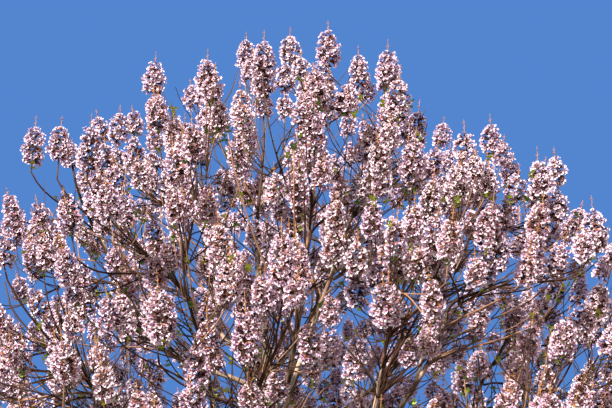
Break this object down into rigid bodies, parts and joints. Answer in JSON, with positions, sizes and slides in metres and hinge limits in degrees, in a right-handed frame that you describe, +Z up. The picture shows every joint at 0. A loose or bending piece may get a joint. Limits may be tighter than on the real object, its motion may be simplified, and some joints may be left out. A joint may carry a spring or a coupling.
{
  "type": "paulownia tree",
  "caption": "Whole deciduous tree in full blossom: a swaying trunk, forking boughs and a domed crown of upright flower panicles on twigs with young leaves.",
  "frame": {"origin": "centre of the trunk's flat cut at ground level", "axes": "+Z up, +X to the picture's right, +Y away from the camera"},
  "size_m": [7.2671, 6.9001, 9.67],
  "materials": {
    "bark": "rough grey-brown bark",
    "blossom": "matte lilac flowers, brown buds and shoots, green young leaves"
  },
  "bodies": {
    "root": {"trunk": "bark", "bough_01": "bark", "bough_02": "bark", "bough_03": "bark", "bough_04": "bark", "bough_05": "bark", "bough_06": "bark", "bough_07": "bark", "bough_08": "bark", "bough_09": "bark", "bough_10": "bark", "bough_11": "bark", "bough_12": "bark", "bough_13": "bark", "bough_14": "bark", "bough_15": "bark", "bough_16": "bark", "bough_17": "bark", "bough_18": "bark", "bough_19": "bark", "bough_20": "bark", "bough_21": "bark", "bough_22": "bark", "bough_23": "bark", "bough_24": "bark", "bough_25": "bark", "bough_26": "bark", "bough_27": "bark", "bough_28": "bark", "blossom_mass_01": "blossom", "blossom_mass_02": "blossom", "blossom_mass_03": "blossom", "blossom_mass_04": "blossom", "blossom_mass_05": "blossom", "blossom_mass_06": "blossom", "blossom_mass_07": "blossom", "blossom_mass_08": "blossom", "blossom_mass_09": "blossom", "blossom_mass_10": "blossom", "blossom_mass_11": "blossom", "blossom_mass_12": "blossom", "blossom_mass_13": "blossom", "blossom_mass_14": "blossom", "blossom_mass_15": "blossom", "blossom_mass_16": "blossom", "blossom_mass_17": "blossom", "blossom_mass_18": "blossom", "blossom_mass_19": "blossom", "blossom_mass_20": "blossom", "blossom_mass_21": "blossom", "blossom_mass_22": "blossom", "blossom_mass_23": "blossom", "blossom_mass_24": "blossom", "blossom_mass_25": "blossom", "blossom_mass_26": "blossom", "blossom_mass_27": "blossom", "blossom_mass_28": "blossom", "blossom_mass_29": "blossom"}
  },
  "joints": []
}
